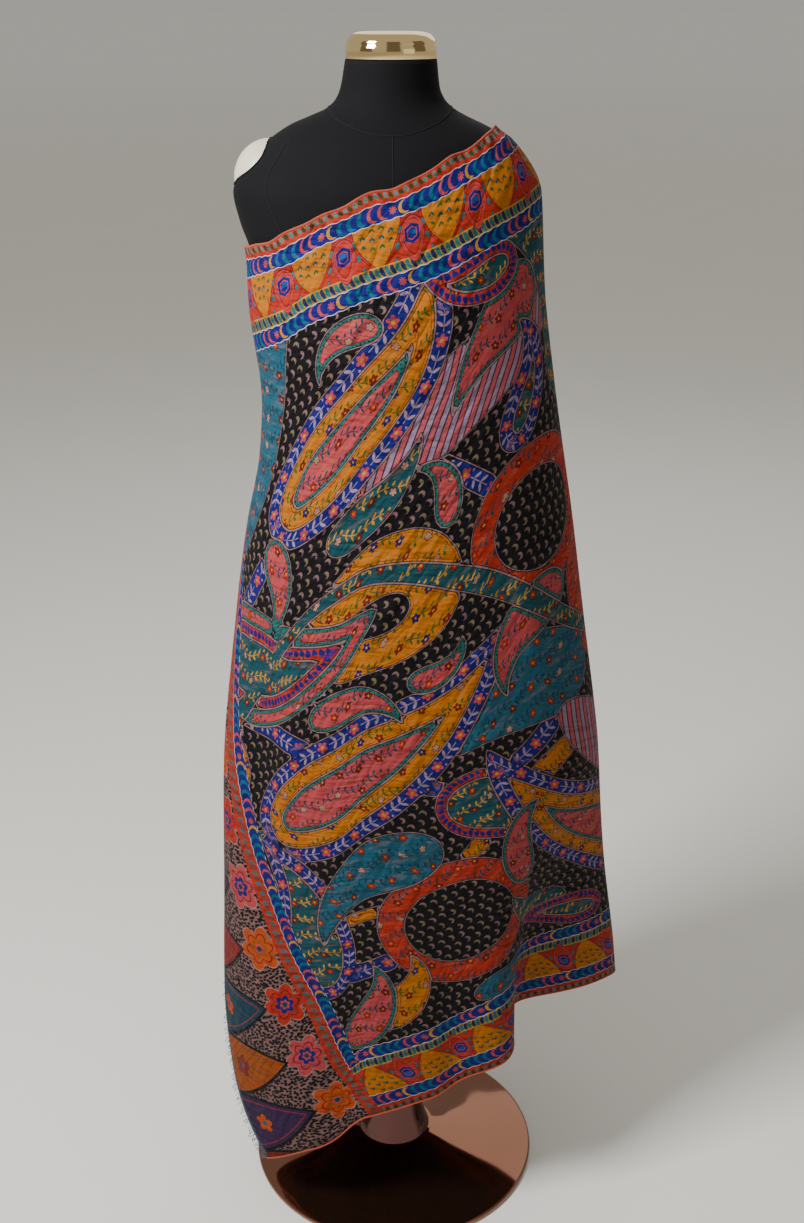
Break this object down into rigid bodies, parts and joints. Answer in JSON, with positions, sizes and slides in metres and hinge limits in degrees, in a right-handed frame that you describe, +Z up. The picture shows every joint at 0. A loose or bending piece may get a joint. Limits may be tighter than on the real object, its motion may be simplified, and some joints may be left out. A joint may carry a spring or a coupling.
{
  "type": "kalamkari shawl on a dress form",
  "caption": "Rectangular printed wool shawl with floral borders, wrapped round a limbless dress form and over its left shoulder, its fringed end lapped at the back, on a round metal base.",
  "frame": {"origin": "centre of the round base's flat underside, where it stands on the floor", "axes": "+Z up; the front of the shawl faces -Y; +X towards the form's left shoulder, which the shawl goes over"},
  "size_m": [0.5089, 0.3713, 1.3993],
  "materials": {
    "shawl_print": "matte printed wool, bright paisleys and flowers on black",
    "fringe_wool": "matte wool thread",
    "form_cover": "matte black jersey",
    "form_shell": "smooth pale shell",
    "cap_gold": "polished gold-coloured metal",
    "base_metal": "polished rose-tinted metal"
  },
  "bodies": {
    "root": {"base": "base_metal", "base_bell": "base_metal", "base_collar": "base_metal", "pole": "base_metal", "hip_plate": "base_metal", "torso": "form_cover", "neck_cap": "cap_gold", "shoulder_end": "form_shell", "shawl_front": "shawl_print", "shawl_back": "shawl_print", "end_fringe": "fringe_wool"}
  },
  "joints": []
}
